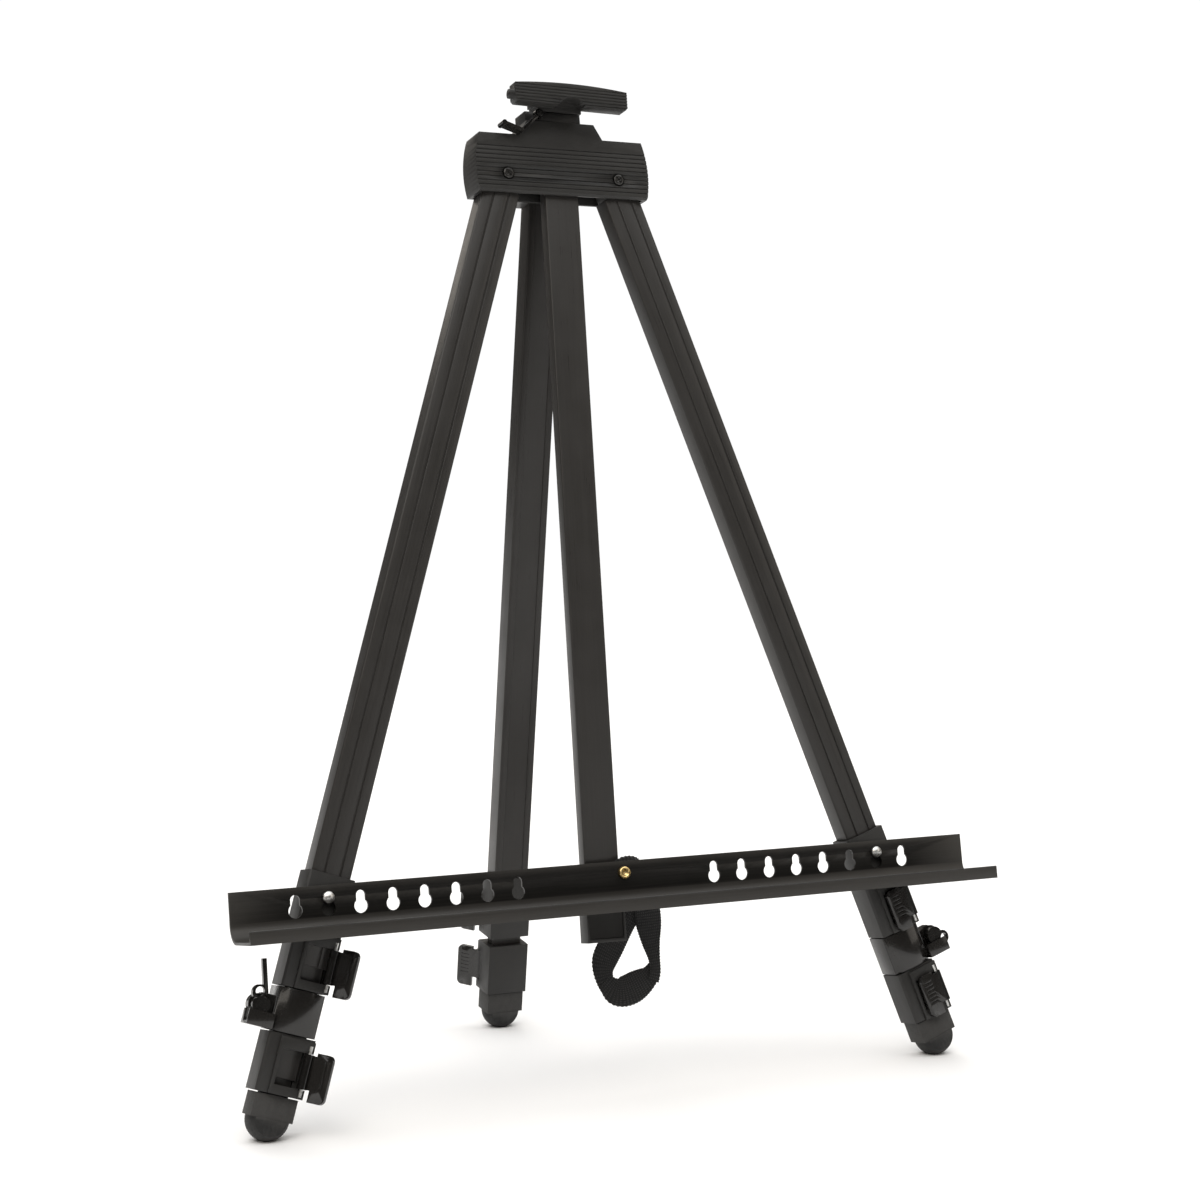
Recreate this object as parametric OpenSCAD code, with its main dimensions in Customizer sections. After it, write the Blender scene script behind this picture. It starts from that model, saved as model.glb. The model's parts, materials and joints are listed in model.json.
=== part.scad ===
// Telescopic tabletop easel: three legs on a plastic head, a centre mast with a top holder,
// and a punched canvas tray across the front. Millimetres, +Z up, standing on z = 0.

/* [Stance] */
// Lean of the front plane back from the vertical
lean = 9.9; // [6:0.1:14]
// Angle of each front leg from the middle of the front plane
spread = 18.5; // [14:0.1:22]
// Angle of the rear leg back from the vertical
rear_angle = 7.6; // [5:0.1:12]
// Distance of each front leg pivot from the middle
pivot_x = 33; // [32:0.5:36]
// Front leg length from its pivot to the end of its boot
leg_len = 520; // [500:1:540]

/* [Tubes] */
// Width of the upper leg tube
tube_w = 21; // [20:0.5:23]
// Depth of the upper leg tube
tube_d = 13; // [13:0.5:15]
// Wall of the upper leg tube
tube_wall = 1.3; // [1.2:0.1:1.5]
// Side clearance between one tube and the next
tube_gap = 0.4; // [0.35:0.05:0.5]
// Wall of the plastic collars
collar_wall = 1.6; // [1.4:0.1:2]

/* [Head] */
// Half width of the head at its widest
head_half = 51.6; // [50:0.1:54]
// Height of the head above the pivots
head_up = 21.8; // [20:0.1:24]
// Height of the head below the pivots
head_down = 10.4; // [9:0.1:10.8]
// Number of grooves across the head
head_grooves = 10; // [6:1:11]

/* [Mast] */
// Width of the mast
mast_w = 20; // [18:0.5:21]
// Depth of the mast
mast_d = 7; // [7:0.5:8]
// Sideways lean of the mast
mast_tilt = 0.94; // [0:0.02:1]

/* [Tray] */
// Length of the tray
tray_len = 428; // [420:1:436]
// Shift of the tray to the right of the middle
tray_shift = 3.4; // [0:0.1:4]
// Distance from the pivots down to the row of keyholes
row_v = 378; // [374:1:382]
// Distance from one keyhole to the next
hole_pitch = 17.1; // [16:0.1:18]
// Distance from the middle to the first keyhole
hole_first = 57.5; // [54:0.5:60]
// Number of keyholes on each side
hole_count = 8; // [7:1:8]

/* [Hidden] */

black_metal = [0.17, 0.16, 0.15];
black_plastic = [0.13, 0.13, 0.12];
gloss_black = [0.09, 0.08, 0.07];
rubber = [0.08, 0.08, 0.08];
zinc = [0.78, 0.78, 0.76];
brass = [0.78, 0.62, 0.3];
webbing = [0.05, 0.05, 0.05];
eps = 0.01;

// Leg stations, measured down the leg from its pivot
boot_r = 11;                                // radius of the boot's round end
boot_flat = 0.6;                            // height cut off where it stands
sleeve_len = 11.5;                          // straight part of the boot
collar_len = [58, 29];                      // upper and lower collar
band_len = 21.5;
part_gap = 0.6;                             // between pieces stacked on the leg
tube_top = 8;
lower_bottom = leg_len - boot_r - sleeve_len - part_gap;    // bottom of the lower collar
lower_top = lower_bottom - collar_len[1];
band_top = lower_top - part_gap - band_len;
upper_bottom = band_top - part_gap;
upper_top = upper_bottom - collar_len[0];
// The rear leg has no band, and a shorter upper collar
rear_short = band_len + part_gap;
rear_pivot_v = -5;                          // rear hinge above the front pivots
rear_pivot_w = -24;                         // rear hinge behind the front face of the legs
pivot_z = (leg_len - boot_r) * cos(spread) * cos(lean) + boot_r - boot_flat
    + tube_d / 2 * sin(lean);
rear_pivot_z = pivot_z - rear_pivot_v * cos(lean) + rear_pivot_w * sin(lean);
rear_len = (rear_pivot_z - boot_r + boot_flat) / cos(rear_angle) + boot_r;
rear_upper_len = 36;

// Tray section, in the front plane: v runs down it and w comes forward
tray_t = 1.4;
tray_w = 4.35;                              // front face of the back plate
tray_top = row_v - 6.2;
tray_bottom = row_v + 19.2;
tray_lip_w = 37;
tray_lip_h = 6;
key_small_r = 2.45;
key_big_r = 3.65;
key_drop = 5.4;
bolt_x = 3.6;

// Flip locks: the raised frame on each collar, its pocket, and the lever
lever_len = 17;                             // cam and stem, along the leg
plate_len = 24;                             // plate, along the leg
hinge_x = 10.2;                             // lever pin from the middle of the leg
hinge_w = 3.1;                              // lever pin in front of the leg's front face
cam_r = 2.6;
lever_pin_r = 0.9;
collar_front = tube_d / 2 + collar_wall;
frame_x = -6;                               // left edge of the raised part
frame_front = tube_d / 2 + 3.3;             // front of the raised part
pocket_x = -4;
frame_margin = 5;                           // from the pocket to the collar's lower end
lever_open = 130;                           // angle of an open lever
arm_len = 12.6;                             // from the lever's pin to the round of its nose
arm_t = 2;
plate_from = 4.2;                           // from the lever's pin to its wide plate
plate_low = 5.5;                            // of the plate below its stem
plate_corner = 3;

// The model's origin is under the middle of its outline, between the tray's lip and the rear
// leg's lower lever
lever_reach = (arm_len + arm_t / 2 - plate_corner) * sin(lever_open)
    + (cam_r - 0.1 - arm_t) * cos(lever_open);
lever_low = rear_len - boot_r - sleeve_len - part_gap - frame_margin + plate_low - plate_corner;
front_y = -(tray_bottom * sin(lean) + tray_lip_w * cos(lean));
back_y = -rear_pivot_w * cos(lean) - rear_pivot_v * sin(lean) + lever_low * sin(rear_angle)
    + (tube_d / 2 + hinge_w + lever_reach) * cos(rear_angle)
    + plate_corner * norm([sin(lever_open) * cos(rear_angle), sin(rear_angle)]);
origin_shift = [-tray_shift, -(front_y + back_y) / 2, 0];

// ---------- frames ----------
// The front plane: x across, -z down the plane, -y forward; the origin is between the pivots
module front_plane()
    translate(origin_shift) translate([0, 0, pivot_z]) rotate([-lean, 0, 0]) children();

// A front leg: -z down the leg, -y to its front face, the origin on its pivot at mid depth
module front_leg(side)
    front_plane() translate([side * pivot_x, 0, 0]) rotate([0, -side * spread, 0])
        translate([0, tube_d / 2, 0]) children();

// The rear leg faces backwards
module rear_leg()
    front_plane() translate([0, -rear_pivot_w, -rear_pivot_v])
        rotate([lean + rear_angle, 0, 0]) rotate([0, 0, 180]) children();

module mast_frame()
    front_plane() rotate([0, mast_tilt, 0]) translate([-0.4, mast_d / 2 + 0.5, 0]) children();

module on_leg(side)
    if (side == 0) rear_leg() children(); else front_leg(side) children();

// A block given by its ranges in x, in w (forward) and in v (down)
module block(x, w, v)
    translate([x[0], -w[1], -v[1]]) cube([x[1] - x[0], w[1] - w[0], v[1] - v[0]]);

// Up the local z axis from v_bottom to v_top of an outline
module run(v_top, v_bottom)
    translate([0, 0, -v_bottom]) linear_extrude(v_bottom - v_top) children();

// ---------- tube outlines ----------
// Front corners slope back by drop, the back corners are chamfered
function tube_outline(w, d, drop) = [
    [-w / 2 + 0.5, d / 2], [w / 2 - 0.5, d / 2], [w / 2, d / 2 - 0.5],
    [w / 2, -d / 2 + drop + 0.6], [w / 2 - 0.6, -d / 2 + drop], [w / 2 - 5.8, -d / 2],
    [-w / 2 + 5.8, -d / 2], [-w / 2 + 0.6, -d / 2 + drop], [-w / 2, -d / 2 + drop + 0.6],
    [-w / 2, d / 2 - 0.5]];
front_drop = 1;
mid_w = tube_w - 2 * tube_wall - 2 * tube_gap;
mid_d = tube_d - 2 * tube_wall - 2 * tube_gap;
mid_wall = 1.1;
low_w = mid_w - 2 * mid_wall - 2 * tube_gap;
low_d = mid_d - 2 * mid_wall - 2 * tube_gap;

module upper_outline() polygon(tube_outline(tube_w, tube_d, front_drop));
module mid_outline(grow = 0) polygon(tube_outline(mid_w + 2 * grow, mid_d + 2 * grow, 0.8));
module low_outline(grow = 0) polygon(tube_outline(low_w + 2 * grow, low_d + 2 * grow, 0.6));

// Stations of either kind of leg, as [upper top, upper bottom, lower top, lower bottom, end]
function stations(side) = side == 0
    ? let (lb = rear_len - boot_r - sleeve_len - part_gap, lt = lb - collar_len[1], ub = lt - 5)
        [ub - rear_upper_len, ub, lt, lb, rear_len]
    : [upper_top, upper_bottom, lower_top, lower_bottom, leg_len];

module leg_upper_tube(side) {
    s = stations(side);
    color(black_metal) on_leg(side) run(tube_top, s[1] - 12) difference() {
        upper_outline();
        polygon(tube_outline(tube_w - 2 * tube_wall, tube_d - 2 * tube_wall, 0.8));
        for (x = [-4.2, 4.2]) translate([x - 0.5, -tube_d / 2 - eps]) square([1, 0.6]);
        translate([-6.5, tube_d / 2 - 0.5]) square([13, 1]);
    }
}

mid_top = 40;
module leg_mid_tube(side) {
    s = stations(side);
    color(black_metal) on_leg(side) run(mid_top, s[3] - 8) difference() {
        mid_outline();
        mid_outline(-mid_wall);
    }
}

low_top = 50;
module leg_lower_tube(side) {
    s = stations(side);
    color(black_metal) on_leg(side) run(low_top, s[4] - boot_r - 1) difference() {
        low_outline();
        low_outline(-1);
    }
}

// ---------- knuckles ----------
knuckle_r = 7.8;
bore_gap = 0.05;
pin_r = 2;
module knuckle(side) {
    color(black_plastic) on_leg(side) difference() {
        union() {
            rotate([90, 0, 0]) {
                if (side != 0) cylinder(r = knuckle_r, h = tube_d - 1.4, center = true, $fn = 60);
            }
            if (side == 0) rotate([0, 90, 0]) cylinder(r = 5.5, h = tube_w - 2, center = true, $fn = 48);
            block([-tube_w / 2 + 1, tube_w / 2 - 1], [-tube_d / 2 + 1.5, tube_d / 2 - 1.5], [0, tube_top]);
            run(tube_top, mid_top - 6)
                polygon(tube_outline(tube_w - 2 * tube_wall, tube_d - 2 * tube_wall, 0.8));
        }
        if (side == 0)
            rotate([0, 90, 0]) cylinder(r = pin_r + bore_gap, h = tube_w + 2, center = true, $fn = 48);
        else
            rotate([90, 0, 0]) cylinder(r = pin_r + bore_gap, h = tube_d + 2, center = true, $fn = 48);
    }
}

// ---------- collars and their levers ----------
module collar(side, which) {
    s = stations(side);
    top = s[which * 2];
    bottom = s[which * 2 + 1];
    half = tube_w / 2 + collar_wall;
    lever_bottom = bottom - frame_margin;
    lever_top = lever_bottom - lever_len;
    color(black_plastic) on_leg(side) difference() {
        union() {
            run(top, bottom) square([2 * half, tube_d + 2 * collar_wall], center = true);
            // Raised frame on the right of the front
            difference() {
                block([frame_x, half], [collar_front - eps, frame_front],
                      [max(lever_top - 6, top), bottom]);
                // Sloping right corner of the frame, clear of the lever
                translate([hinge_x, -tube_d / 2 - hinge_w, -lever_bottom - 0.3])
                    cylinder(r = cam_r + 0.5, h = lever_len + 0.6, $fn = 40);
            }
        }
        // Bore for the tubes
        if (which == 0) {
            run(top - 1, s[1] - 12) upper_outline();
            run(s[1] - 13, bottom + 1) mid_outline(tube_gap);
        } else {
            run(top - 1, bottom - 8) mid_outline();
            run(bottom - 9, bottom + 1) low_outline(tube_gap);
        }
        // Pocket in front of the tube, and the slot for the lever's cam
        block([pocket_x, hinge_x], [tube_d / 2 - 3.5, frame_front + 1],
              [lever_top - 0.3, lever_bottom + 0.3]);
        block([hinge_x - cam_r, half + 1], [tube_d / 2 - 0.9, frame_front + 1],
              [lever_top - 0.3, lever_bottom + 0.3]);
        // Chamfers along the front left corner and the lower right edge
        translate([-half, -collar_front, -bottom - 1]) rotate([0, 0, 45])
            cube([1.4, 1.4, 2 * (bottom - top) + 2], center = true);
        // Hole for the lever's pin
        translate([hinge_x, -tube_d / 2 - hinge_w, -lever_bottom - 4])
            cylinder(r = lever_pin_r, h = lever_len + 8, $fn = 24);
    }
}

module lever_pin(side, which) {
    bottom = stations(side)[which * 2 + 1] - frame_margin;
    color(zinc) on_leg(side) translate([hinge_x, -tube_d / 2 - hinge_w, -bottom - 4])
        cylinder(r = lever_pin_r, h = lever_len + 8, $fn = 24);
}

// Each lever hinges on its pin. At rest the left and rear ones stand open, the right ones shut
function open_angle(side) = side == 1 ? 0 : lever_open;

module lever(side, which) {
    bottom = stations(side)[which * 2 + 1] - frame_margin;
    back = -cam_r + 0.1;
    color(gloss_black) on_leg(side) translate([hinge_x, -tube_d / 2 - hinge_w, -bottom])
        rotate([0, 0, open_angle(side)]) difference() {
            union() {
                cylinder(r = cam_r, h = lever_len, $fn = 40);
                // Stem, which lies over the pocket when shut, with a nib behind it
                translate([-plate_from - 1, back, 0.2]) cube([plate_from + 1, arm_t, lever_len - 0.4]);
                translate([-arm_len + 2, back + 0.2, 2]) cube([1.2, arm_t + 0.9, lever_len - 4]);
                // Plate, with round outer corners
                translate([0, back + arm_t, 0]) rotate([90, 0, 0]) linear_extrude(arm_t) {
                    translate([-plate_from - plate_corner - 1, -plate_low]) square([plate_corner + 1, plate_len]);
                    translate([-arm_len - arm_t / 2 + plate_corner, plate_corner - plate_low])
                        offset(r = plate_corner, $fn = 48) square([arm_len + arm_t / 2 - plate_from
                            - 2 * plate_corner - 1, plate_len - 2 * plate_corner]);
                }
            }
            translate([0, 0, -1]) cylinder(r = lever_pin_r + bore_gap, h = lever_len + 2, $fn = 24);
            // Grip grooves on the outer face
            for (z = [2.4 : 2.2 : lever_len - 2]) translate([-arm_len + 1.4, back - 0.4, z]) cube([5, 0.8, 0.7]);
        }
}

// ---------- boots ----------
module foot(side) {
    s = stations(side);
    end = s[4];
    color(rubber) difference() {
        on_leg(side) difference() {
            union() {
                run(end - boot_r - sleeve_len, end - boot_r)
                    square([tube_w + 1, tube_d + 1], center = true);
                intersection() {
                    translate([0, 0, -(end - boot_r)]) sphere(r = boot_r, $fn = 64);
                    run(end - boot_r - eps, end + 1) square([tube_w + 1, tube_d + 2], center = true);
                }
            }
            // Socket for the lower tube
            run(end - boot_r - sleeve_len - 1, end - boot_r - 1) low_outline();
        }
        // Worn flat where the boot stands
        translate([-400, -400, -50]) cube([800, 800, 50]);
    }
}

// ---------- canvas supports ----------
hub_x = 19.5;                               // clamp screw from the middle of the leg
hub_v = band_top + 11;
ear_w = 3.6;                                // front of the ear, from the tube's mid depth
hub_r = 4.6;
cup_x = hub_x + 5.4;                        // outer edge of the cup below the ear
cup_v = [band_top + 14, band_top + 21.4];
cup_t = 1.5;
clamp_r = 1.6;

// A block on the outer side of a leg, between two distances from its middle
module outer_block(side, near, far, w, v)
    block(side > 0 ? [near, far] : [-far, -near], w, v);

module support_band(side) {
    half = tube_w / 2 + collar_wall;
    color(gloss_black) on_leg(side) difference() {
        union() {
            run(band_top, band_top + band_len) {
                translate([-half, -tube_d / 2 + 1]) square([2 * half, tube_d / 2 + 7]);
                // Round front
                intersection() {
                    translate([0, 11]) circle(r = 20.2, $fn = 120);
                    translate([-half, -tube_d / 2 - 6]) square([2 * half, 9]);
                }
            }
            // Ear for the clamp
            outer_block(side, half - 1, hub_x, [-1, ear_w], [hub_v - 6, hub_v + 6]);
            translate([side * hub_x, -ear_w, -hub_v]) rotate([-90, 0, 0])
                cylinder(r = hub_r + 0.8, h = ear_w + 1, $fn = 48);
            // Cup below it: floor, front and back
            outer_block(side, half - 0.5, cup_x, [-1, 9.5], [cup_v[1] - cup_t, cup_v[1]]);
            outer_block(side, half - 0.5, cup_x, [9.5 - cup_t, 9.5], cup_v);
            outer_block(side, half - 0.5, cup_x, [-1, ear_w - 1.4], cup_v);
        }
        run(band_top - 1, band_top + band_len + 1) mid_outline();
        translate([side * hub_x, -30, -hub_v]) rotate([-90, 0, 0])
            cylinder(r = clamp_r + bore_gap, h = 60, $fn = 32);
    }
}

// Angle of each clamp arm from straight up the leg, and the length of its bar
function arm_turn(side) = side > 0 ? 125 : -18;
function bar_len(side) = side > 0 ? 9 : 22;
bar_x = 3;
ring_z = 5.8;
ring_r = 3.9;
module clamp_arm(side) {
    color(gloss_black) on_leg(side) translate([side * hub_x, -ear_w - 0.3, -hub_v])
        rotate([0, arm_turn(side), 0]) difference() {
            union() {
                // Hub and its shank
                rotate([90, 0, 0]) cylinder(r = hub_r, h = 4, $fn = 48);
                translate([0, 6, 0]) rotate([90, 0, 0]) cylinder(r = clamp_r, h = 7, $fn = 32);
                // Bar beside the ring
                translate([bar_x - 1.1, -3.4, 0]) cube([2.2, 2.8, bar_len(side)]);
                translate([0, -0.6, ring_z]) rotate([90, 0, 0]) cylinder(r = ring_r, h = 2.8, $fn = 48);
            }
            translate([0, 1, ring_z + 0.6]) rotate([90, 0, 0]) cylinder(r = 2.3, h = 6, $fn = 40);
        }
}

// ---------- head ----------
head_wall = 1.5;
cover_front = 3;                            // front face of the cover
cover_back = -15;                           // joint between the two covers
neck_base = 24.8;
neck_tip = 20;
neck_up = 30.2;

// Ends bow outwards between the top and bottom corners
corner_bottom = 49.4;
bow_r = 60;
module head_outline(inset = 0) {
    intersection() {
        translate([0, 5.7]) square([4 * head_half, head_up + head_down - 2 * inset], center = true);
        translate([head_half - inset - bow_r, 3]) intersection() {
            circle(r = bow_r, $fn = 180);
            translate([2 * bow_r - 2 * head_half + 2 * inset, 0]) circle(r = bow_r, $fn = 180);
        }
    }
    polygon([[-neck_base + inset, head_up - inset - 1], [neck_base - inset, head_up - inset - 1],
             [neck_base - inset, head_up - inset], [neck_tip - inset, neck_up],
             [-neck_tip + inset, neck_up], [-neck_base + inset, head_up - inset]]);
}

// An outline in x and up the plane, from w_back to w_front
module plate(w_back, w_front)
    translate([0, -w_back, 0]) rotate([90, 0, 0]) linear_extrude(w_front - w_back) children();

mast_hole_w = [-mast_d - 1.2, 0.2];
module head_front_cover() {
    color(black_plastic) front_plane() difference() {
        plate(cover_back, cover_front) head_outline();
        // Hollow, open at the back and below
        plate(cover_back - 1, cover_front - 2.2) head_outline(head_wall);
        block([-corner_bottom + head_wall, corner_bottom - head_wall], [cover_back - 1, cover_front - 2.2],
              [0, head_down + 1]);
        // Way up for the mast
        translate([0, 0, neck_up - 6]) block([-10.6, 10.6], mast_hole_w, [-8, 8]);
        // Fine grooves across the front
        for (i = [0 : head_grooves - 1])
            block([-60, 60], [cover_front - 0.4, cover_front + 1],
                  [-15 + i * 2.4, -14.4 + i * 2.4]);
        // Chamfer along the bottom edge
        translate([0, -cover_front, -head_down]) rotate([45, 0, 0]) cube([120, 1.6, 1.6], center = true);
        // Seats for the screws
        for (x = [-pivot_x, pivot_x]) translate([x, 0, 0]) rotate([90, 0, 0]) {
            cylinder(r = pin_r + bore_gap, h = 8, $fn = 40);
            translate([0, 0, cover_front - 1.2]) cylinder(r = 3.5, h = 3, $fn = 48);
        }
    }
}

// The rear shell carries the hinge of the rear leg between two cheeks
cheek_x = 11;
cheek_t = 8;
shell_back = -17;
module head_rear_cover() {
    hinge = [-rear_pivot_w, -rear_pivot_v];
    color(black_plastic) front_plane() difference() {
        union() {
            plate(shell_back, cover_back - 0.05) intersection() {
                head_outline(0.4);
                translate([-60, -head_down]) square([120, neck_up + head_down]);
            }
            // Cheeks
            for (sx = [-1, 1]) translate([sx * (cheek_x + cheek_t / 2), hinge[0], hinge[1]]) {
                rotate([0, 90, 0]) cylinder(r = 8.5, h = cheek_t, center = true, $fn = 60);
                translate([-cheek_t / 2, shell_back - rear_pivot_w - 14, -14]) cube([cheek_t, 14, 22.5]);
            }
        }
        // Hinge bore
        translate([0, hinge[0], hinge[1]]) rotate([0, 90, 0])
            cylinder(r = pin_r, h = 60, center = true, $fn = 48);
        // Room for the rear leg's knuckle and tube
        translate([-cheek_x, hinge[0] - 6.9, hinge[1] - 40]) cube([2 * cheek_x, 30, 47]);
        // Screw holes
        for (x = [-pivot_x, pivot_x]) translate([x, 10, 0]) rotate([-90, 0, 0])
            cylinder(r = pin_r, h = 12, $fn = 40);
    }
}

module phillips(size, depth)
    for (a = [0, 90]) rotate([0, 0, a]) translate([-size / 2, -0.4, 0]) cube([size, 0.8, depth]);

module head_screws() {
    color(zinc) front_plane() for (x = [-pivot_x, pivot_x]) translate([x, 0, 0]) rotate([90, 0, 0])
        difference() {
            union() {
                translate([0, 0, shell_back - 2.6]) cylinder(r = pin_r, h = cover_front - shell_back + 2.2, $fn = 40);
                translate([0, 0, cover_front - 1.2]) cylinder(r1 = 3.1, r2 = 2.8, h = 1.7, $fn = 48);
            }
            translate([0, 0, cover_front - 0.5]) rotate([0, 0, 30]) phillips(3.6, 2);
        }
}

module head_nuts() {
    color(zinc) front_plane() for (x = [-pivot_x, pivot_x]) translate([x, -shell_back, 0])
        rotate([-90, 0, 0]) difference() {
            cylinder(r = 4, h = 2.4, $fn = 6);
            translate([0, 0, -1]) cylinder(r = pin_r, h = 5, $fn = 40);
        }
}

module rear_hinge_pin() {
    color(zinc) front_plane() translate([0, -rear_pivot_w, -rear_pivot_v]) rotate([0, 90, 0]) {
        cylinder(r = pin_r, h = 2 * (cheek_x + cheek_t), center = true, $fn = 48);
        for (s = [-1, 1]) translate([0, 0, s * (cheek_x + cheek_t + 0.6)])
            cylinder(r = 3.4, h = 1.2, center = true, $fn = 40);
    }
}

// ---------- mast ----------
mast_top = -24;
cap_v = [385, 413.5];
mast_bottom = 408;
inner_w = mast_w - 3;
inner_d = mast_d - 3;
inner_bottom = 360;
module mast_outline(w, d, r) hull() for (x = [-1, 1], y = [-1, 1])
    translate([x * (w / 2 - r), y * (d / 2 - r)]) circle(r = r, $fn = 32);
module box_tube(w, d, wall) difference() {
    square([w, d], center = true);
    square([w - 2 * wall, d - 2 * wall], center = true);
}

module mast_tube() {
    color(black_metal) mast_frame() difference() {
        run(mast_top, mast_bottom) box_tube(mast_w, mast_d, 1);
        // Broken front corners
        for (s = [-1, 1]) translate([s * mast_w / 2, -mast_d / 2, -(mast_top + mast_bottom) / 2])
            rotate([0, 0, 45]) cube([0.8, 0.8, 500], center = true);
    }
}

module mast_end_cap() {
    color(black_plastic) mast_frame() difference() {
        union() {
            run(cap_v[0], cap_v[1]) square([mast_w + 2.4, mast_d + 2], center = true);
            // Raised border round the front
            difference() {
                block([-mast_w / 2 - 1.2, mast_w / 2 + 1.2], [mast_d / 2 + 1 - eps, mast_d / 2 + 1.5], cap_v);
                block([-mast_w / 2 + 0.4, mast_w / 2 - 0.4], [0, 10], [cap_v[0] - 1, cap_v[1] - 2]);
            }
        }
        run(cap_v[0] - 1, mast_bottom) square([mast_w, mast_d], center = true);
    }
}

holder_v = -34.6;                           // underside of the top holder
module mast_inner_tube() {
    color(black_metal) mast_frame() run(holder_v - 6, inner_bottom) box_tube(inner_w, inner_d, 0.8);
}

// The lever's pin, from the middle of the head
neck_pin_x = -13.5;
neck_pin_z = 33.4;
neck_pin_r = 0.9;
lever_w = [3.4, 6.2];
module neck_clamp() {
    color(black_plastic) front_plane() difference() {
        union() {
            block([-20, 13], [-12, 1], [-35.8, -neck_up]);
            // Boss that carries the lever
            translate([neck_pin_x, 0, neck_pin_z]) rotate([90, 0, 0]) cylinder(r = 2.4, h = 3.1, $fn = 40);
        }
        block([-9.6, 8.8], [-mast_d + 0.6, -1.4], [-40, -neck_up + 6]);
        translate([neck_pin_x, 10, neck_pin_z]) rotate([90, 0, 0]) cylinder(r = neck_pin_r, h = 20, $fn = 24);
    }
}

module neck_lever() {
    knee = [-12.4, -11];
    tip = [-22.6, -7.6];
    bar = 1.7;                              // thickness of the bar and of the thumb pad
    color(gloss_black) front_plane() translate([neck_pin_x, 0, neck_pin_z]) {
        plate(lever_w[0], lever_w[1]) difference() {
            circle(r = 2.6, $fn = 40);
            circle(r = neck_pin_r + bore_gap, $fn = 24);
        }
        plate(lever_w[0], lever_w[1]) rotate(atan2(knee[1], knee[0]))
            translate([2, -bar / 2]) square([norm(knee) - 2, bar]);
        // Thumb pad, deeper than the bar, with round edges
        plate(lever_w[0] - 0.4, 10) {
            translate(knee) circle(r = 1.1, $fn = 32);
            translate(knee) rotate(atan2(tip[1] - knee[1], tip[0] - knee[0]))
                translate([0, -bar / 2]) square([norm(tip - knee), bar]);
            translate(tip) circle(r = 1.4, $fn = 32);
        }
    }
}

module neck_lever_pin() {
    color(zinc) front_plane() translate([neck_pin_x, 0, neck_pin_z]) rotate([90, 0, 0]) {
        translate([0, 0, -8]) cylinder(r = neck_pin_r, h = 14.6, $fn = 24);
        translate([0, 0, lever_w[1] + 0.2]) cylinder(r = 1.8, h = 0.8, $fn = 32);
    }
}

// ---------- top holder ----------
bar_w = [11, 19];
module holder_outline() difference() {
    intersection() {
        translate([-33.2, 34.6]) square([66.4, 12]);
        translate([0, 46.6 - 300]) circle(r = 300, $fn = 360);
    }
    // Arched cut-out in the middle of the underside
    translate([0, 29.6]) circle(r = 9.6, $fn = 64);
    for (s = [-1, 1]) translate([s * 33.2, 34.6]) rotate([0, 0, 45]) square([1.8, 1.8], center = true);
}

module top_holder() {
    color(black_plastic) mast_frame() translate([0.4, -mast_d / 2 - 0.5, 0]) difference() {
        union() {
            plate(bar_w[0], bar_w[1]) holder_outline();
            // Arm back to the mast, with gussets
            block([-14, 14], [-mast_d - 2.6, bar_w[0] + 0.1], [-45.4, -40.2]);
            block([-13, 13], [-mast_d - 2.6, 2], [-40.3, -36.4]);
            for (x = [-14, 12]) block([x, x + 2], [2, bar_w[0] + 0.1], [-40.3, -38]);
            // Small nub at the left end
            translate([-33.4, -15, 39]) rotate([0, 90, 0]) cylinder(r = 2.6, h = 5, center = true, $fn = 32);
        }
        // Ribs along the front
        for (i = [0 : 5]) block([-60, 60], [bar_w[1] - 0.4, bar_w[1] + 1], [-44.4 + i * 1.7, -43.8 + i * 1.7]);
        // Socket for the inner mast, and the screw hole
        translate([-0.4, mast_d / 2 + 0.5, 0]) run(holder_v - 6, -30) square([inner_w, inner_d], center = true);
        translate([-0.4, mast_d / 2 + 0.5, 38.4]) rotate([-90, 0, 0]) cylinder(r = 1.2, h = 20, $fn = 32);
    }
}

module holder_screw() {
    color(zinc) mast_frame() translate([0, 0, 38.4]) rotate([-90, 0, 0]) difference() {
        union() {
            translate([0, 0, mast_d / 2 - 0.7]) cylinder(r = 1.2, h = 3.3, $fn = 32);
            translate([0, 0, mast_d / 2 + 2.1]) cylinder(r1 = 2.6, r2 = 2, h = 1.2, $fn = 40);
        }
        translate([0, 0, mast_d / 2 + 2.8]) phillips(2.6, 2);
    }
}

// ---------- tray ----------
module keyhole() {
    circle(r = key_small_r, $fn = 48);
    translate([0, -key_drop]) circle(r = key_big_r, $fn = 48);
    translate([-key_small_r, -key_drop]) square([2 * key_small_r, key_drop]);
}

// Section in w and up the plane
module tray_section() {
    knee = 9.6;
    arc_v = -tray_bottom + knee;
    // Back plate, quarter-round knee, shelf and front lip
    translate([tray_w - tray_t, arc_v]) square([tray_t, tray_bottom - knee - tray_top]);
    translate([tray_w - tray_t + knee, arc_v]) difference() {
        circle(r = knee, $fn = 96);
        circle(r = knee - tray_t, $fn = 96);
        translate([0, -knee - 1]) square([knee + 2, 2 * knee + 2]);
        translate([-knee - 1, 0]) square([2 * knee + 2, knee + 2]);
    }
    translate([tray_w - tray_t + knee - eps, -tray_bottom])
        square([tray_lip_w - tray_w + tray_t - knee, tray_t]);
    translate([tray_lip_w - tray_t, -tray_bottom]) square([tray_t, tray_lip_h]);
    translate([tray_lip_w - tray_t / 2, -tray_bottom + tray_lip_h]) circle(r = tray_t / 2, $fn = 32);
}

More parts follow.
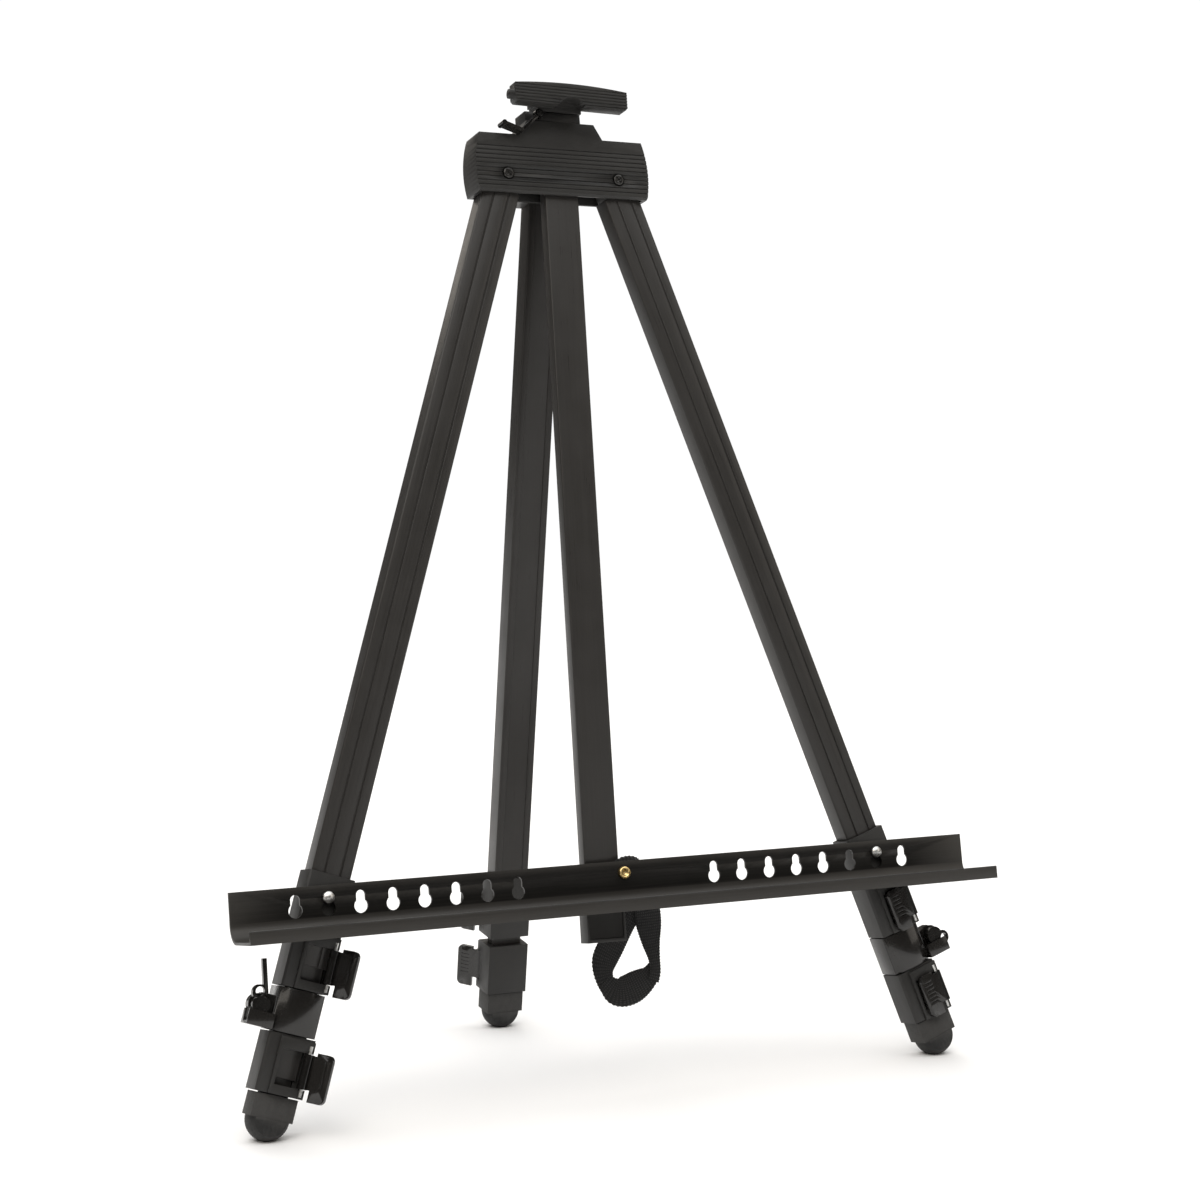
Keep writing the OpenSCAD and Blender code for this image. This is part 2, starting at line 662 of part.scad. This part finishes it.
module tray() {
    color(black_metal) front_plane() difference() {
        translate([tray_shift - tray_len / 2, 0, 0]) rotate([90, 0, 90])
            linear_extrude(tray_len) mirror([1, 0]) tray_section();
        for (side = [-1, 1], i = [0 : hole_count - 1])
            translate([side * (hole_first + i * hole_pitch), 1, -row_v]) rotate([90, 0, 0])
                linear_extrude(9) keyhole();
        translate([bolt_x, 1, -row_v]) rotate([90, 0, 0]) cylinder(r = 2 + bore_gap, h = 9, $fn = 48);
    }
}

stud_x = hole_first + 6 * hole_pitch;
module tray_studs() {
    color(zinc) front_plane() for (side = [-1, 1]) translate([side * stud_x, 0, -row_v])
        rotate([90, 0, 0]) {
            translate([0, 0, collar_wall + 0.4]) cylinder(r = 1.9, h = tray_w - collar_wall, $fn = 40);
            translate([0, 0, tray_w + 0.3]) cylinder(r1 = 3.2, r2 = 2.8, h = 1.6, $fn = 48);
        }
}

strap_t = 1;
strap_front = tray_w - tray_t - 0.02;       // the strap leaves the bolt against the tray's back
module tray_bolt() {
    color(brass) front_plane() translate([bolt_x, 0, -row_v]) rotate([90, 0, 0]) difference() {
        union() {
            translate([0, 0, -0.1]) cylinder(r = 2, h = tray_w + 0.5, $fn = 40);
            translate([0, 0, tray_w]) cylinder(r1 = 3.5, r2 = 3.1, h = 1.8, $fn = 48);
        }
        translate([0, 0, tray_w + 0.6]) cylinder(r = 1.7, h = 3, $fn = 40);
    }
}

module tray_nut() {
    color(zinc) front_plane() translate([bolt_x, 0, -row_v]) rotate([90, 0, 0]) difference() {
        cylinder(r = 3.8, h = strap_front - strap_t, $fn = 6);
        translate([0, 0, -1]) cylinder(r = 2, h = 5, $fn = 40);
    }
}

// ---------- strap ----------
// A loop of webbing that hangs from the bolt, past the right of the mast and behind it
strap_w = [-13.2, -12];                     // back and front of the hanging loop
module strap() {
    color(webbing) front_plane() difference() {
        union() {
            block([-2.5, 12.5], [strap_front - strap_t, strap_front], [370, 388]);
            block([12.4, 14], [strap_w[1] - 0.6, strap_front], [374, 392]);
            plate(strap_w[0], strap_w[1]) mirror([0, 1]) difference() {
                polygon([[8, 374], [14, 374], [32, 388], [31, 412], [25, 438], [16, 447], [7, 449], [2, 447],
                         [-7, 431], [-11, 422], [-8, 414], [4, 396]]);
                polygon([[16, 410], [22, 427], [-1, 435]]);
            }
        }
        translate([bolt_x, 10, -row_v]) rotate([90, 0, 0]) cylinder(r = 2, h = 30, $fn = 40);
    }
}

head_front_cover();
head_rear_cover();
head_screws();
head_nuts();
rear_hinge_pin();
mast_tube();
mast_end_cap();
mast_inner_tube();
neck_clamp();
neck_lever();
neck_lever_pin();
top_holder();
holder_screw();
tray();
tray_studs();
tray_bolt();
tray_nut();
strap();
knuckle(-1);  // left_knuckle
leg_upper_tube(-1);  // left_upper_tube
collar(-1, 0);  // left_upper_collar
lever(-1, 0);  // left_upper_lever
lever_pin(-1, 0);  // left_upper_lever_pin
leg_mid_tube(-1);  // left_mid_tube
collar(-1, 1);  // left_lower_collar
lever(-1, 1);  // left_lower_lever
lever_pin(-1, 1);  // left_lower_lever_pin
leg_lower_tube(-1);  // left_lower_tube
foot(-1);  // left_foot
support_band(-1);  // left_support_band
clamp_arm(-1);  // left_clamp_arm
knuckle(1);  // right_knuckle
leg_upper_tube(1);  // right_upper_tube
collar(1, 0);  // right_upper_collar
lever(1, 0);  // right_upper_lever
lever_pin(1, 0);  // right_upper_lever_pin
leg_mid_tube(1);  // right_mid_tube
collar(1, 1);  // right_lower_collar
lever(1, 1);  // right_lower_lever
lever_pin(1, 1);  // right_lower_lever_pin
leg_lower_tube(1);  // right_lower_tube
foot(1);  // right_foot
support_band(1);  // right_support_band
clamp_arm(1);  // right_clamp_arm
knuckle(0);  // rear_knuckle
leg_upper_tube(0);  // rear_upper_tube
collar(0, 0);  // rear_upper_collar
lever(0, 0);  // rear_upper_lever
lever_pin(0, 0);  // rear_upper_lever_pin
leg_mid_tube(0);  // rear_mid_tube
collar(0, 1);  // rear_lower_collar
lever(0, 1);  // rear_lower_lever
lever_pin(0, 1);  // rear_lower_lever_pin
leg_lower_tube(0);  // rear_lower_tube
foot(0);  // rear_foot
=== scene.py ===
"""Looks of the tabletop easel: every CAD node gets an edge-rounded piece with a procedural finish,
and the strap is a ribbon built here. Metres, in the CAD frame."""
import json
import math

import bmesh
import bpy
from mathutils import Matrix, Vector


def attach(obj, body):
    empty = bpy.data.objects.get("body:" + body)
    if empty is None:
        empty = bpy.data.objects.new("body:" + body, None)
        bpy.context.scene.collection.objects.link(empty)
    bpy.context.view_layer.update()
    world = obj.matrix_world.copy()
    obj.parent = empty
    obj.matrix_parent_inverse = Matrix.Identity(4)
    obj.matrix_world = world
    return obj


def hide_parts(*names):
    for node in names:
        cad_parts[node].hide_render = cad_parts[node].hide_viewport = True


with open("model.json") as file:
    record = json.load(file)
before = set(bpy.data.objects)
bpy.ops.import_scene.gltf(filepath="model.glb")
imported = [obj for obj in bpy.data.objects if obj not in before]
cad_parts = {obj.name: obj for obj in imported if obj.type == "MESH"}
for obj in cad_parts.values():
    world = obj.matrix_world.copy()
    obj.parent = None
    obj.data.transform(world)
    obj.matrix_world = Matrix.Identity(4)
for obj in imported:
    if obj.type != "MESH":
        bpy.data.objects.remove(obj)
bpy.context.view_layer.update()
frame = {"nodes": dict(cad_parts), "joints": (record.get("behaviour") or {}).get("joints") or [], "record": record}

MM = 0.001
record = frame["record"]
joints = {j["name"]: j for j in frame["joints"]}
body_of = {node: body for body, nodes in record["behaviour"]["bodies"].items() for node in nodes}
slot_of = {part["node"]: part["material_slot"] for part in record["subparts"]}


# ---------- places ----------
def frame_from(origin, y_axis, z_axis):
    """A matrix whose columns are X = Y x Z, Y and Z."""
    y, z = Vector(y_axis).normalized(), Vector(z_axis).normalized()
    m = Matrix((y.cross(z), y, z)).transposed().to_4x4()
    m.translation = origin
    return m


BACK = Vector(joints["right_leg_fold"]["axis"])
UP = Vector(joints["tray_lift"]["axis"])
PIVOTS = [Vector(joints[side + "_leg_fold"]["pos_m"]) for side in ("left", "right")]
PLANE = frame_from((PIVOTS[0] + PIVOTS[1]) / 2, BACK, UP)
# Half the depth of a leg tube, and the mast's place beside the middle and behind the front plane
HALF_TUBE = 6.5 * MM
MAST_PLACE = Vector((-0.4 * MM, 4 * MM, 0))
LEGS = {}
for i, side in enumerate(("left", "right")):
    up_leg = -Vector(joints[side + "_upper_extension"]["axis"])
    LEGS[side] = frame_from(PIVOTS[i] + BACK * HALF_TUBE, BACK, up_leg)
rear_up = -Vector(joints["rear_upper_extension"]["axis"])
rear_front = rear_up.cross(Vector((-1, 0, 0)))
LEGS["rear"] = frame_from(Vector(joints["rear_leg_fold"]["pos_m"]), rear_front, rear_up)
MAST = frame_from(PLANE @ MAST_PLACE, BACK, joints["mast_extension"]["axis"])


def home_of(node):
    """The axes that a node is squared up to: its leg's, the mast's or the front plane's."""
    side = node.split("_")[0]
    if side in LEGS:
        return LEGS[side]
    if node.startswith("mast") or node.startswith("holder") or node == "top_holder":
        return MAST
    return PLANE


# ---------- materials ----------
class Shader:
    """A small helper to build node trees."""

    def __init__(self, name):
        self.mat = bpy.data.materials.new(name)
        self.mat.use_nodes = True
        self.nodes = self.mat.node_tree.nodes
        self.links = self.mat.node_tree.links
        self.nodes.clear()
        self.out = self.nodes.new("ShaderNodeOutputMaterial")
        self.bsdf = self.nodes.new("ShaderNodeBsdfPrincipled")
        self.links.new(self.bsdf.outputs[0], self.out.inputs[0])

    def add(self, kind, **values):
        node = self.nodes.new(kind)
        for key, value in values.items():
            setattr(node, key, value)
        return node

    def set(self, **values):
        for key, value in values.items():
            self.bsdf.inputs[key.replace("_", " ")].default_value = value

    def coords(self, scale, kind="Object"):
        source = self.add("ShaderNodeTexCoord")
        mapping = self.add("ShaderNodeMapping")
        mapping.inputs["Scale"].default_value = scale
        self.links.new(source.outputs[kind], mapping.inputs["Vector"])
        return mapping.outputs[0]

    def noise(self, scale, detail=3.0, rough=0.55, kind="Object"):
        """Noise whose features are 1/scale metres long on each axis."""
        tex = self.add("ShaderNodeTexNoise")
        tex.inputs["Scale"].default_value = 1.0
        tex.inputs["Detail"].default_value = detail
        tex.inputs["Roughness"].default_value = rough
        self.links.new(self.coords(scale, kind), tex.inputs["Vector"])
        return tex.outputs["Fac"]

    def span(self, value, low, high, start=0.3, end=0.7):
        node = self.add("ShaderNodeMapRange")
        for key, number in (("From Min", start), ("From Max", end), ("To Min", low), ("To Max", high)):
            node.inputs[key].default_value = number
        self.links.new(value, node.inputs["Value"])
        return node.outputs[0]

    def mix(self, fac, a, b, mode="MIX"):
        node = self.add("ShaderNodeMix", data_type="RGBA", blend_type=mode)
        for socket, value in ((node.inputs[0], fac), (node.inputs[6], a), (node.inputs[7], b)):
            if isinstance(value, bpy.types.NodeSocket):
                self.links.new(value, socket)
            elif isinstance(value, (int, float)):
                socket.default_value = value
            else:
                socket.default_value = (*value, 1)
        return node.outputs[2]

    def math(self, kind, a, b):
        node = self.add("ShaderNodeMath", operation=kind)
        for socket, value in zip(node.inputs, (a, b)):
            if isinstance(value, bpy.types.NodeSocket):
                self.links.new(value, socket)
            else:
                socket.default_value = value
        return node.outputs[0]

    def edges(self):
        return self.add("ShaderNodeAttribute", attribute_name="edge").outputs["Fac"]

    def bump(self, height, distance, strength=1.0, after=None):
        node = self.add("ShaderNodeBump")
        node.inputs["Strength"].default_value = strength
        node.inputs["Distance"].default_value = distance
        self.links.new(height, node.inputs["Height"])
        if after is not None:
            self.links.new(after, node.inputs["Normal"])
        return node.outputs[0]

    def wire(self, colour=None, rough=None, normal=None):
        for socket, value in (("Base Color", colour), ("Roughness", rough), ("Normal", normal)):
            if value is not None:
                self.links.new(value, self.bsdf.inputs[socket])
        return self.mat


def coated_metal(name, dark, light, rough, grain):
    """Black coated drawn metal: fine lines along grain, cloudy gloss and paler edges."""
    s = Shader(name)
    lines = s.noise(grain, 4.0, 0.7)
    clouds = s.noise((60, 60, 60), 3.0)
    grit = s.noise((2600, 2600, 2600), 2.0)
    colour = s.mix(s.span(lines, 0, 1), dark, light)
    colour = s.mix(s.math("MULTIPLY", s.edges(), 0.45), colour, [c * 3.2 + 0.01 for c in light])
    sheen = s.math("ADD", s.span(lines, rough - 0.05, rough + 0.07), s.span(clouds, -0.04, 0.05))
    normal = s.bump(lines, 0.02 * MM, 0.5, after=s.bump(grit, 0.012 * MM, 0.4))
    s.set(Metallic=0.1, Specular_IOR_Level=0.3)
    return s.wire(colour, sheen, normal)


def moulded(name, dark, light, rough, size, depth, coat=0.0):
    """Moulded plastic: a fine grain, faint flow clouds and rubbed edges."""
    s = Shader(name)
    grain = s.noise((1 / size, 1 / size, 1 / size), 4.0, 0.65)
    clouds = s.noise((90, 90, 45), 4.0)
    colour = s.mix(s.span(clouds, 0, 1), dark, light)
    colour = s.mix(s.math("MULTIPLY", s.edges(), 0.35), colour, [c * 2.6 + 0.006 for c in light])
    gloss = s.math("ADD", s.span(clouds, rough - 0.05, rough + 0.06), s.span(grain, -0.04, 0.06))
    s.set(Coat_Weight=coat, Coat_Roughness=0.09, Specular_IOR_Level=0.34)
    return s.wire(colour, gloss, s.bump(grain, depth, 0.6))


def plated(name, dark, light, rough):
    """Plated hardware: turned lines and a mottled plating with duller patches."""
    s = Shader(name)
    mottle = s.noise((700, 700, 700), 4.0)
    fine = s.noise((5200, 5200, 900), 3.0)
    colour = s.mix(s.span(mottle, 0, 1), dark, light)
    s.set(Metallic=1.0)
    return s.wire(colour, s.span(mottle, rough, rough + 0.16), s.bump(fine, 0.015 * MM, 0.5))


def boot_rubber(name):
    """Dusty rubber with a coarse grain and paler edges."""
    s = Shader(name)
    grain = s.noise((1500, 1500, 1500), 5.0, 0.7)
    dust = s.noise((160, 160, 70), 5.0, 0.7)
    colour = s.mix(s.span(dust, 0, 1, 0.45, 0.75), (0.0085, 0.0085, 0.0085), (0.03, 0.029, 0.028))
    colour = s.mix(s.math("MULTIPLY", s.edges(), 0.5), colour, (0.06, 0.058, 0.055))
    s.set(Specular_IOR_Level=0.42)
    return s.wire(colour, s.span(grain, 0.52, 0.74), s.bump(grain, 0.06 * MM, 0.7))


def webbing(name):
    """Woven tape: ribs across it and yarns along it, from the piece's own UV map in metres."""
    s = Shader(name)
    coords = s.add("ShaderNodeUVMap", uv_map="tape").outputs[0]
    heights = []
    for direction, pitch in (("X", 1.5 * MM), ("Y", 1.15 * MM)):
        wave = s.add("ShaderNodeTexWave", bands_direction=direction)
        wave.inputs["Scale"].default_value = 0.314 / pitch
        wave.inputs["Distortion"].default_value = 0.6
        s.links.new(coords, wave.inputs["Vector"])
        heights.append(wave.outputs["Fac"])
    weave = s.math("MULTIPLY", heights[0], heights[1])
    fluff = s.noise((3200, 3200, 3200), 3.0, 0.8)
    colour = s.mix(weave, (0.003, 0.003, 0.003), (0.022, 0.0215, 0.021))
    height = s.math("ADD", weave, s.math("MULTIPLY", fluff, 0.5))
    s.set(Sheen_Weight=0.25, Sheen_Roughness=0.5, Specular_IOR_Level=0.3)
    return s.wire(colour, s.span(fluff, 0.7, 0.9), s.bump(height, 0.25 * MM, 0.9))


ALONG_LEG = (1500, 1500, 22)
ALONG_TRAY = (20, 1500, 1500)
MATERIALS = {
    "leg_metal": coated_metal("black_leg_coating", (0.006, 0.0056, 0.0052), (0.0145, 0.0135, 0.0125),
                              0.33, ALONG_LEG),
    "tray_metal": coated_metal("black_tray_coating", (0.0062, 0.0058, 0.0053), (0.015, 0.0138, 0.0122),
                               0.36, ALONG_TRAY),
    "plastic": moulded("moulded_black", (0.0085, 0.0082, 0.0078), (0.0135, 0.013, 0.0122), 0.46,
                       0.45 * MM, 0.05 * MM),
    "gloss_plastic": moulded("polished_black", (0.0045, 0.0042, 0.004), (0.0075, 0.0068, 0.006), 0.2,
                             1.4 * MM, 0.012 * MM, coat=0.35),
    "rubber": boot_rubber("boot_rubber"),
    "webbing": webbing("nylon_webbing"),
    "black_steel": plated("black_steel", (0.03, 0.029, 0.028), (0.09, 0.088, 0.085), 0.28),
    "zinc": plated("zinc_plate", (0.5, 0.5, 0.49), (0.78, 0.78, 0.76), 0.24),
    "brass": plated("brass", (0.66, 0.46, 0.18), (0.86, 0.66, 0.32), 0.2),
}


# ---------- pieces ----------
def finish_mesh(bm, name, home, body, slot):
    """A bmesh in home's own axes becomes a piece that rides on a body."""
    mesh = bpy.data.meshes.new(name)
    bm.to_mesh(mesh)
    bm.free()
    for polygon in mesh.polygons:
        polygon.use_smooth = True
    mesh.set_sharp_from_angle(angle=SHADING_ANGLE)
    mesh.materials.append(MATERIALS[slot])
    obj = bpy.data.objects.new(name, mesh)
    bpy.context.scene.collection.objects.link(obj)
    obj.matrix_world = home
    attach(obj, body)
    return obj


def round_edges(bm, width, angle):
    """Rounds every sharp edge and marks the new faces' corners for the worn edges."""
    edge_mark = bm.verts.layers.float.new("edge")
    if width <= 0:
        return
    sharp = [e for e in bm.edges if len(e.link_faces) == 2 and e.calc_face_angle(0) > angle
             and e.calc_length() > SHORTEST_EDGE]
    made = bmesh.ops.bevel(bm, geom=sharp, offset=width, segments=2, profile=0.5, affect="EDGES",
                           clamp_overlap=True)
    for face in made["faces"]:
        for vert in face.verts:
            vert[edge_mark] = 1.0


# Points closer than this are one point, and shorter edges than this aren't rounded
MERGE_DISTANCE = 0.002 * MM
SHORTEST_EDGE = 0.6 * MM
# Faces that meet flatter than this are one face, and edges sharper than this are rounded
FLAT_ANGLE = math.radians(0.6)
SHARP_ANGLE = math.radians(28)
# Edges sharper than this after rounding keep a shading break
SHADING_ANGLE = math.radians(38)
# Width of the rounding of each material's edges
ROUNDING = {"leg_metal": 0.25 * MM, "tray_metal": 0.22 * MM, "plastic": 0.35 * MM,
            "gloss_plastic": 0.3 * MM, "rubber": 0.4 * MM, "black_steel": 0.15 * MM,
            "zinc": 0.15 * MM, "brass": 0.15 * MM}


def refined(node):
    """A CAD node as a piece of its own, with rounded edges."""
    slot = slot_of[node]
    home = home_of(node)
    bm = bmesh.new()
    bm.from_mesh(frame["nodes"][node].data)
    bmesh.ops.remove_doubles(bm, verts=bm.verts, dist=MERGE_DISTANCE)
    bmesh.ops.dissolve_limit(bm, angle_limit=FLAT_ANGLE, verts=bm.verts, edges=bm.edges)
    bmesh.ops.transform(bm, matrix=home.inverted(), verts=bm.verts)
    low, high = (Vector(f(v.co[i] for v in bm.verts) for i in range(3)) for f in (min, max))
    round_edges(bm, ROUNDING[slot], SHARP_ANGLE)
    # The rounded piece stays inside the node's own box
    for v in bm.verts:
        v.co = [min(max(c, a), b) for c, a, b in zip(v.co, low, high)]
    bmesh.ops.triangulate(bm, faces=[f for f in bm.faces if len(f.verts) > 4])
    obj = finish_mesh(bm, node + "_finished", home, body_of[node], slot)
    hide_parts(node)
    return obj


# ---------- strap ----------
# Thickness of the tape, the spacing of the ribs on its edges and how deep they are, millimetres
TAPE_THICK = 1.1
RIB = 1.5
RIB_DEPTH = 0.2
# Steps of the curve between two points, and points around the tape
TAPE_STEPS = 16
TAPE_CORNERS = 12
# Stretches of the tape's middle, as x, forward, down the plane and half the width seen, in
# millimetres: off the bolt, down the right, across the bottom, and up behind the mast's cap
TAPE = [[(1, 2.3, 379, 5), (4, 2.2, 377, 7), (9, 1.6, 377, 7.6), (13, -2.5, 379, 7.7), (17, -8, 382, 7.8),
         (21, -11.2, 388, 7.8), (23.6, -12, 398, 7.8), (24, -12, 407, 7.6), (24.4, -11.8, 416, 5.6),
         (25.4, -11.4, 425, 3.6), (25.6, -11.6, 432, 3.2), (24, -12.2, 437, 3.6)],
        [(26, -12.6, 428, 3), (22, -12.6, 434, 6), (14.5, -12.5, 438.3, 8.2), (7, -12.6, 440.6, 8.2),
         (1, -12.8, 439.5, 7.2), (-4, -13, 434.5, 4.2)],
        [(17, -13.1, 391, 7.6), (12, -13.2, 400, 7.7), (7, -13.4, 407.5, 7.7), (2, -13.5, 415.5, 7.7),
         (-3, -13.5, 423.5, 7.4), (-4.2, -13.4, 431, 5.6), (-1.5, -13.2, 439, 4.6), (2.5, -13.1, 444, 3)]]


def smooth_route(points, steps):
    """A Catmull-Rom curve through the points."""
    route = [Vector(p) for p in points]
    route = [2 * route[0] - route[1]] + route + [2 * route[-1] - route[-2]]
    out = []
    for a, b, c, d in zip(route, route[1:], route[2:], route[3:]):
        for k in range(steps):
            t = k / steps
            out.append(0.5 * ((2 * b) + (c - a) * t + (2 * a - 5 * b + 4 * c - d) * t ** 2
                              + (3 * b - a - 3 * c + d) * t ** 3))
    return out + [route[-2]]


def tape(bm, uv, points):
    """A ribbon along the points, with woven edges and slightly rounded ends."""
    centre = smooth_route(points, TAPE_STEPS)
    distance = [0.0]
    for a, b in zip(centre, centre[1:]):
        distance.append(distance[-1] + (b - a).to_3d().length)
    rings = []
    for i, p in enumerate(centre):
        ahead = (centre[min(i + 1, len(centre) - 1)] - centre[max(i - 1, 0)]).to_3d()
        # The tape's width lies in the plane, square to its run
        across = Vector((ahead.z, 0, -ahead.x)).normalized()
        normal = ahead.cross(across).normalized()
        half = p[3] + RIB_DEPTH * math.cos(2 * math.pi * distance[i] / RIB)
        ring = []
        for k in range(TAPE_CORNERS):
            a = 2 * math.pi * k / TAPE_CORNERS
            side = math.copysign(abs(math.cos(a)) ** 0.35, math.cos(a)) * half
            lift = math.copysign(abs(math.sin(a)) ** 0.6, math.sin(a)) * TAPE_THICK / 2
            q = p.to_3d() + across * side + normal * lift
            ring.append((bm.verts.new(Vector((q.x, -q.y, -q.z)) * MM), side))
        rings.append(ring)
    for i, (a, b) in enumerate(zip(rings, rings[1:])):
        for k in range(TAPE_CORNERS):
            j = (k + 1) % TAPE_CORNERS
            face = bm.faces.new((a[k][0], a[j][0], b[j][0], b[k][0]))
            for loop, ((_, side), n) in zip(face.loops, ((a[k], i), (a[j], i), (b[j], i + 1), (b[k], i + 1))):
                loop[uv].uv = (distance[n] * MM, side * MM)
    for ring in (rings[0], rings[-1]):
        bm.faces.new([v for v, _ in ring])


def strap():
    """The three stretches of tape as one piece in place of the strap's plate."""
    bm = bmesh.new()
    bm.verts.layers.float.new("edge")
    uv = bm.loops.layers.uv.new("tape")
    for points in TAPE:
        tape(bm, uv, points)
    bmesh.ops.recalc_face_normals(bm, faces=bm.faces)
    obj = finish_mesh(bm, "webbing_loop", PLANE, body_of["strap"], "webbing")
    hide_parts("strap")
    return obj


# ---------- studio ----------
def studio():
    """A white surround, a pale paper floor, three soft lamps and a wide wash from above."""
    world = bpy.data.worlds.new("studio")
    bpy.context.scene.world = world
    world.use_nodes = True
    nodes, links = world.node_tree.nodes, world.node_tree.links
    seen, lit = nodes["Background"], nodes.new("ShaderNodeBackground")
    seen.inputs[0].default_value = (1, 1, 1, 1)
    seen.inputs[1].default_value = 1.03
    lit.inputs[0].default_value = (1, 0.95, 0.88, 1)
    lit.inputs[1].default_value = 0.1
    chosen, path = nodes.new("ShaderNodeMixShader"), nodes.new("ShaderNodeLightPath")
    links.new(path.outputs["Is Camera Ray"], chosen.inputs[0])
    links.new(lit.outputs[0], chosen.inputs[1])
    links.new(seen.outputs[0], chosen.inputs[2])
    links.new(chosen.outputs[0], nodes["World Output"].inputs[0])

    bm = bmesh.new()
    bmesh.ops.create_circle(bm, cap_ends=True, segments=128, radius=14)
    mesh = bpy.data.meshes.new("floor")
    bm.to_mesh(mesh)
    bm.free()
    floor = bpy.data.objects.new("floor", mesh)
    bpy.context.scene.collection.objects.link(floor)
    paper = Shader("pale_paper")
    paper.set(Base_Color=(0.96, 0.96, 0.96, 1), Roughness=0.9, Specular_IOR_Level=0.1)
    mesh.materials.append(paper.mat)

    for name, place, size, power in (("key", (-1.3, -1.5, 1.9), 1.6, 18), ("fill", (1.9, -0.9, 1.1), 1.4, 6),
                                     ("rim", (0.3, 1.8, 1.6), 1.5, 8)):
        light = bpy.data.lights.new(name, "AREA")
        light.size = size
        light.energy = power
        light.color = (1, 0.93, 0.84)
        lamp = bpy.data.objects.new(name, light)
        lamp.location = place
        lamp.rotation_euler = (Vector((0, 0, 0.25)) - Vector(place)).to_track_quat("-Z", "Y").to_euler()
        bpy.context.scene.collection.objects.link(lamp)
    sun = bpy.data.lights.new("sky_wash", "SUN")
    sun.energy = 3.2
    sun.angle = math.radians(100)
    lamp = bpy.data.objects.new("sky_wash", sun)
    bpy.context.scene.collection.objects.link(lamp)


def camera():
    """The view from the front left, a little above the middle of the easel."""
    azimuth, elevation = CAMERA_AZIMUTH, CAMERA_ELEVATION
    away = Vector((-math.sin(azimuth) * math.cos(elevation), -math.cos(azimuth) * math.cos(elevation),
                   math.sin(elevation)))
    cam = bpy.data.cameras.new("camera")
    cam.sensor_width = 36
    cam.lens = CAMERA_LENS
    obj = bpy.data.objects.new("camera", cam)
    middle = Vector(((PIVOTS[0].x + PIVOTS[1].x) / 2, 0, 0)) + Vector((AIM_X, AXIS_Y, AIM_Z)) * MM
    obj.location = middle + away * CAMERA_DISTANCE
    obj.rotation_euler = (-away).to_track_quat("-Z", "Y").to_euler()
    bpy.context.scene.collection.objects.link(obj)
    bpy.context.scene.camera = obj


# The point that the camera looks at, in millimetres: to the right of the pivots' middle, a little
# in front of them, and above the floor
AIM_X = 22.3
AXIS_Y = PIVOTS[0].y / MM - 1.6
AIM_Z = 255.9
CAMERA_AZIMUTH = math.radians(25.78)
CAMERA_ELEVATION = math.radians(2.9)
CAMERA_LENS = 67.6
CAMERA_DISTANCE = 1.25

camera()
studio()
for node in sorted(body_of):
    if node != "strap":
        refined(node)
strap()
bpy.context.scene.view_settings.view_transform = "Standard"
